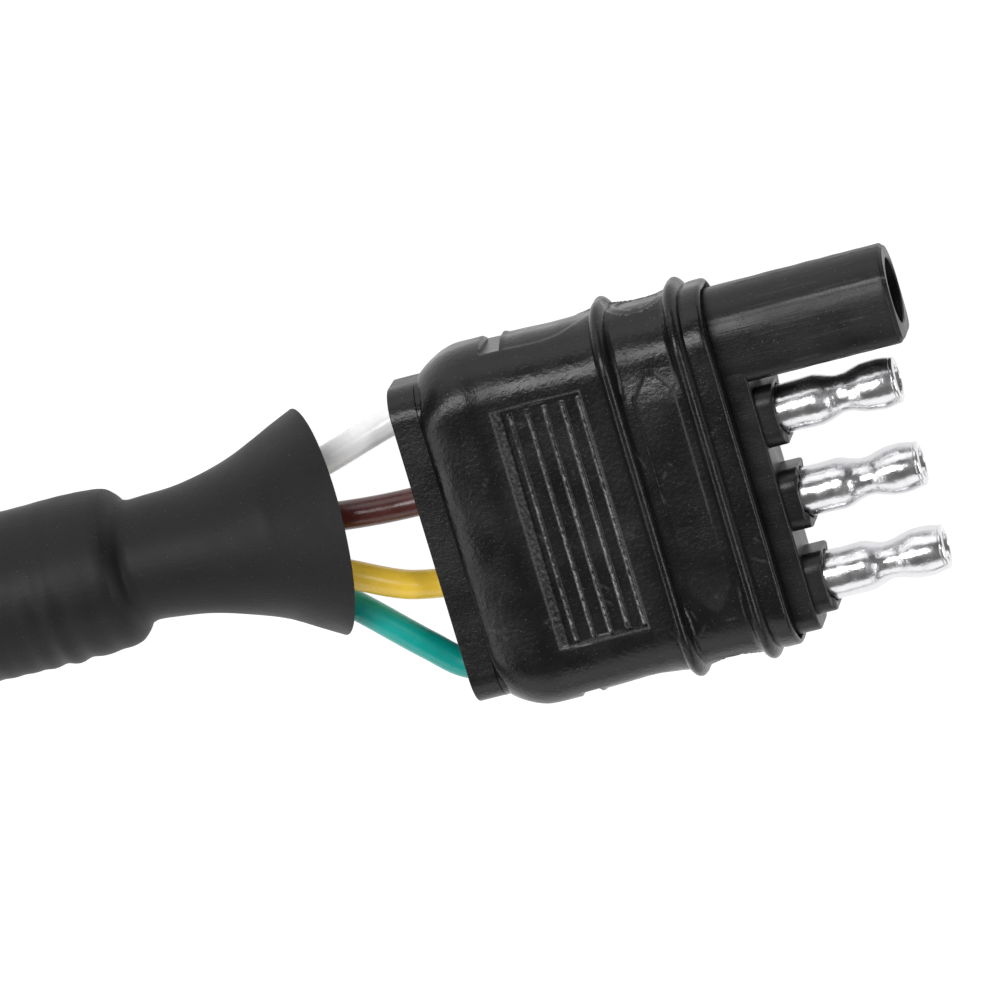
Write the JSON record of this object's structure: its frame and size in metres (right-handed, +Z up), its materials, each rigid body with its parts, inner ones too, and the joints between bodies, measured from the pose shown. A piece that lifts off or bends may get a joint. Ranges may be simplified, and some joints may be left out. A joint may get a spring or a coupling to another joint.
{
  "type": "trailer wiring connector",
  "caption": "Flat moulded trailer light plug with bare bullet pins, one shrouded socket and a short wire pigtail in a corrugated loom with heat-shrink sleeves.",
  "frame": {"origin": "middle of the plug's length and width, on the floor under its two beads", "axes": "+X along the plug, from the wires towards the contacts; +Y across its width, towards the shrouded socket; +Z up, out of the broad face"},
  "size_m": [0.343, 0.1324, 0.0211],
  "materials": {
    "jacket_pvc": "black moulded PVC, satin, slightly uneven",
    "carrier_plastic": "black moulded plastic, satin",
    "insert_plastic": "black moulded plastic, fine grain",
    "plated_brass": "bright plated rolled brass",
    "tinned_copper": "tinned copper strands",
    "heat_shrink": "matte dark grey heat-shrink tubing",
    "split_loom": "black corrugated polyethylene",
    "white_pvc": "white PVC insulation",
    "brown_pvc": "brown PVC insulation",
    "yellow_pvc": "yellow PVC insulation",
    "green_pvc": "green PVC insulation"
  },
  "bodies": {
    "root": {"overmould_body": "jacket_pvc", "contact_carrier": "carrier_plastic", "rear_insert": "insert_plastic", "brown_male_terminal": "plated_brass", "yellow_male_terminal": "plated_brass", "green_male_terminal": "plated_brass", "white_female_terminal": "plated_brass", "white_conductor": "tinned_copper", "brown_conductor": "tinned_copper", "yellow_conductor": "tinned_copper", "green_conductor": "tinned_copper", "white_wire": "white_pvc", "brown_wire": "brown_pvc", "yellow_wire": "yellow_pvc", "green_wire": "green_pvc", "front_sleeve": "heat_shrink", "loom": "split_loom", "rear_sleeve": "heat_shrink", "white_tail": "white_pvc", "brown_tail": "brown_pvc", "yellow_tail": "yellow_pvc", "green_tail": "green_pvc", "white_tail_strands": "tinned_copper", "brown_tail_strands": "tinned_copper", "yellow_tail_strands": "tinned_copper", "green_tail_strands": "tinned_copper"}
  },
  "joints": []
}
